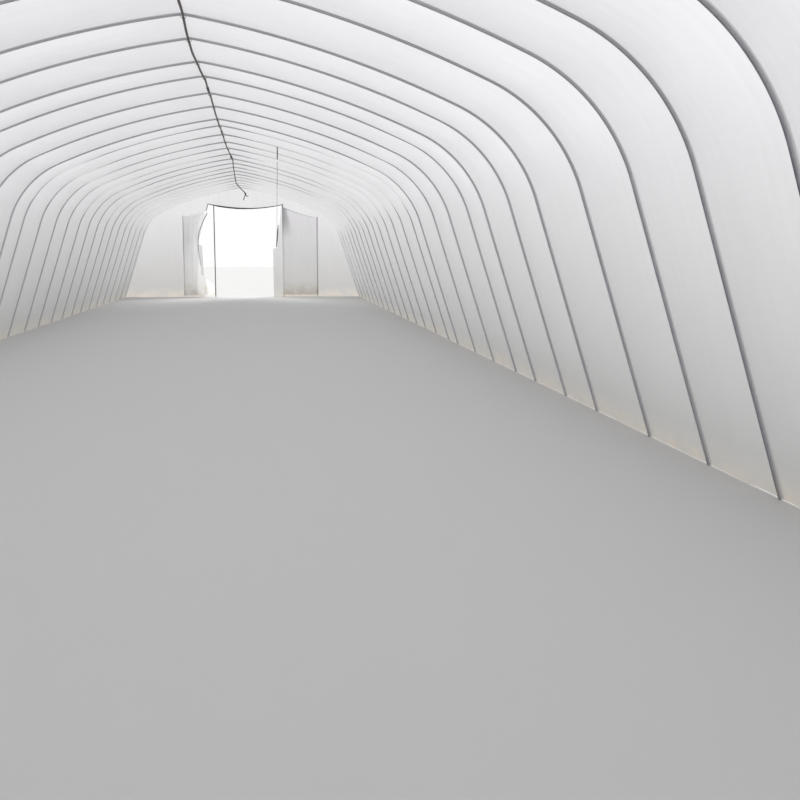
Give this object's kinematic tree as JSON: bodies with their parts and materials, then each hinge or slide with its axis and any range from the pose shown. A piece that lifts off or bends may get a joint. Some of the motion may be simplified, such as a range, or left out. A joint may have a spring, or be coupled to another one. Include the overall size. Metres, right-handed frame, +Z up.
{
  "type": "polytunnel greenhouse",
  "caption": "Film-covered polytunnel greenhouse: bent steel hoops with leaning legs and a low ridge, a ridge purlin, and a doorway with film leaves in each end wall.",
  "frame": {"origin": "on the ground at the middle of the plan", "axes": "+Y along the tunnel to the far doorway, +X to the right seen from inside, +Z up"},
  "size_m": [6.0258, 27.3246, 2.79],
  "materials": {
    "hoop_steel": "dull galvanised tube, lightly weathered",
    "purlin_steel": "dark weathered tube",
    "tunnel_film": "milky translucent polyethylene film",
    "door_film": "milky polyethylene film, creased and dusty",
    "pole_wood": "weathered grey pole"
  },
  "bodies": {
    "tunnel": {"door_jamb_far_left": "pole_wood", "door_jamb_far_right": "pole_wood", "door_jamb_near_left": "pole_wood", "door_jamb_near_right": "pole_wood", "door_lintel_far": "pole_wood", "door_lintel_near": "pole_wood", "drop_wire": "hoop_steel", "end_film_far_left": "tunnel_film", "end_film_far_over": "tunnel_film", "end_film_far_right": "tunnel_film", "end_film_near_left": "tunnel_film", "end_film_near_over": "tunnel_film", "end_film_near_right": "tunnel_film", "film_roof_left": "tunnel_film", "film_roof_right": "tunnel_film", "film_shoulder_left": "tunnel_film", "film_shoulder_right": "tunnel_film", "film_side_left": "tunnel_film", "film_side_right": "tunnel_film", "hoops_01_02": "hoop_steel", "hoops_03_04": "hoop_steel", "hoops_05_06": "hoop_steel", "hoops_07_08": "hoop_steel", "hoops_09_10": "hoop_steel", "hoops_11_12": "hoop_steel", "hoops_13_14": "hoop_steel", "hoops_15_16": "hoop_steel", "hoops_17_18": "hoop_steel", "hoops_19_20": "hoop_steel", "hoops_21_22": "hoop_steel", "hoops_23_24": "hoop_steel", "hoops_25_26": "hoop_steel", "hoops_27_28": "hoop_steel", "hoops_29_30": "hoop_steel", "hoops_31": "hoop_steel", "ridge_purlin": "purlin_steel"},
    "leaf_far_left": {"door_leaf_film_far_left": "door_film", "door_leaf_poles_far_left": "pole_wood"},
    "leaf_far_right": {"door_leaf_film_far_right": "door_film", "door_leaf_poles_far_right": "pole_wood"},
    "leaf_near_left": {"door_leaf_film_near_left": "door_film", "door_leaf_poles_near_left": "pole_wood"},
    "leaf_near_right": {"door_leaf_film_near_right": "door_film", "door_leaf_poles_near_right": "pole_wood"}
  },
  "joints": [
    {"name": "hinge_far_right", "type": "hinge", "parent": "tunnel", "child": "leaf_far_right", "pos_m": [1.02, 13.616, 1.2], "axis": [0, 0, -1], "range_deg": [0, 180]},
    {"name": "hinge_far_left", "type": "hinge", "parent": "tunnel", "child": "leaf_far_left", "pos_m": [-0.72, 13.616, 1.2], "axis": [0, 0, 1], "range_deg": [-23, 157]},
    {"name": "hinge_near_right", "type": "hinge", "parent": "tunnel", "child": "leaf_near_right", "pos_m": [-1.02, -13.616, 1.2], "axis": [0, 0, -1], "range_deg": [0, 180]},
    {"name": "hinge_near_left", "type": "hinge", "parent": "tunnel", "child": "leaf_near_left", "pos_m": [0.72, -13.616, 1.2], "axis": [0, 0, 1], "range_deg": [-23, 157]}
  ]
}
